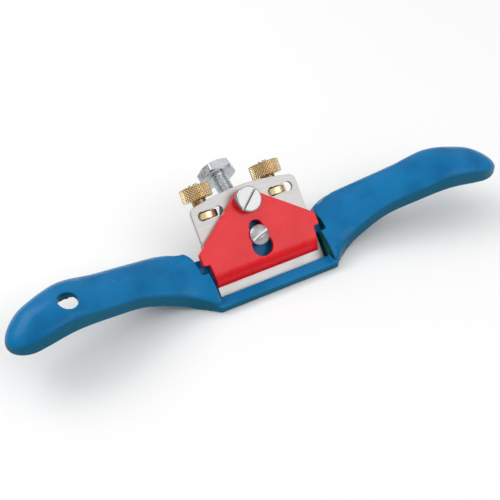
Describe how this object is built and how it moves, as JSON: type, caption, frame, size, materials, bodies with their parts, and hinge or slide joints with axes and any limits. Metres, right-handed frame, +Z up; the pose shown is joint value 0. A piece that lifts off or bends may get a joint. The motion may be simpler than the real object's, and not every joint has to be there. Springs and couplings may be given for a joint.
{
  "type": "spokeshave",
  "caption": "Flat-faced spokeshave: cast gull-wing body, sloping steel blade, lever cap with clamp screw, knurled depth nuts on studs.",
  "frame": {"origin": "on the flat sole, in the middle of the cutting edge", "axes": "+X along the handles to the right as the user sees the toe in front, -Y towards the toe, +Z up from the sole"},
  "size_m": [0.246, 0.0667, 0.0373],
  "materials": {
    "body_paint": "thick glossy blue enamel over a cast surface",
    "stud_steel": "plain steel thread",
    "brass": "machined and knurled brass",
    "blade_steel": "ground steel with fine scratches",
    "cap_paint": "glossy red enamel with a slight orange-peel texture",
    "bright_steel": "bright nickel-plated steel",
    "zinc_plate": "bright zinc plating"
  },
  "bodies": {
    "frame_body": {"body": "body_paint", "stud_left": "stud_steel", "stud_right": "stud_steel"},
    "blade_body": {"blade": "blade_steel"},
    "nut_left_body": {"nut_left": "brass"},
    "nut_right_body": {"nut_right": "brass"},
    "cap_body": {"lever_cap": "cap_paint"},
    "clamp_screw_body": {"clamp_screw": "bright_steel"},
    "centre_screw_body": {"centre_screw": "bright_steel"},
    "hex_bolt_body": {"hex_bolt": "zinc_plate"}
  },
  "joints": [
    {"name": "blade_depth", "type": "slide", "parent": "frame_body", "child": "blade_body", "axis": [0, 0.7071, 0.7071], "range_m": [-0.0007, 0.0025]},
    {"name": "nut_left_turn", "type": "hinge", "parent": "blade_body", "child": "nut_left_body", "pos_m": [-0.018, 0.03924, 0.03005], "axis": [0, 0.7071, 0.7071], "range_deg": [-316, 1126]},
    {"name": "nut_right_turn", "type": "hinge", "parent": "blade_body", "child": "nut_right_body", "pos_m": [0.018, 0.03924, 0.03005], "axis": [0, 0.7071, 0.7071], "range_deg": [-316, 1126]},
    {"name": "cap_slide", "type": "slide", "parent": "frame_body", "child": "cap_body", "axis": [0, 0.7071, 0.7071], "range_m": [-0.0018, 0.0049]},
    {"name": "clamp_screw_turn", "type": "hinge", "parent": "cap_body", "child": "clamp_screw_body", "pos_m": [0, 0.0234, 0.03048], "axis": [0, -0.7071, 0.7071], "range_deg": [0, 450]},
    {"name": "centre_screw_turn", "type": "hinge", "parent": "frame_body", "child": "centre_screw_body", "pos_m": [0, 0.01513, 0.01513], "axis": [0, -0.7071, 0.7071], "range_deg": [0, 630]},
    {"name": "hex_bolt_turn", "type": "hinge", "parent": "frame_body", "child": "hex_bolt_body", "pos_m": [0, 0.0515, 0.0238], "axis": [0, 0.9455, 0.3256], "range_deg": [0, 1110]}
  ],
  "couplings": [
    {"joint": "nut_left_turn", "follows": "blade_depth", "rad_per_m": 7854},
    {"joint": "nut_right_turn", "follows": "blade_depth", "rad_per_m": 7854}
  ]
}
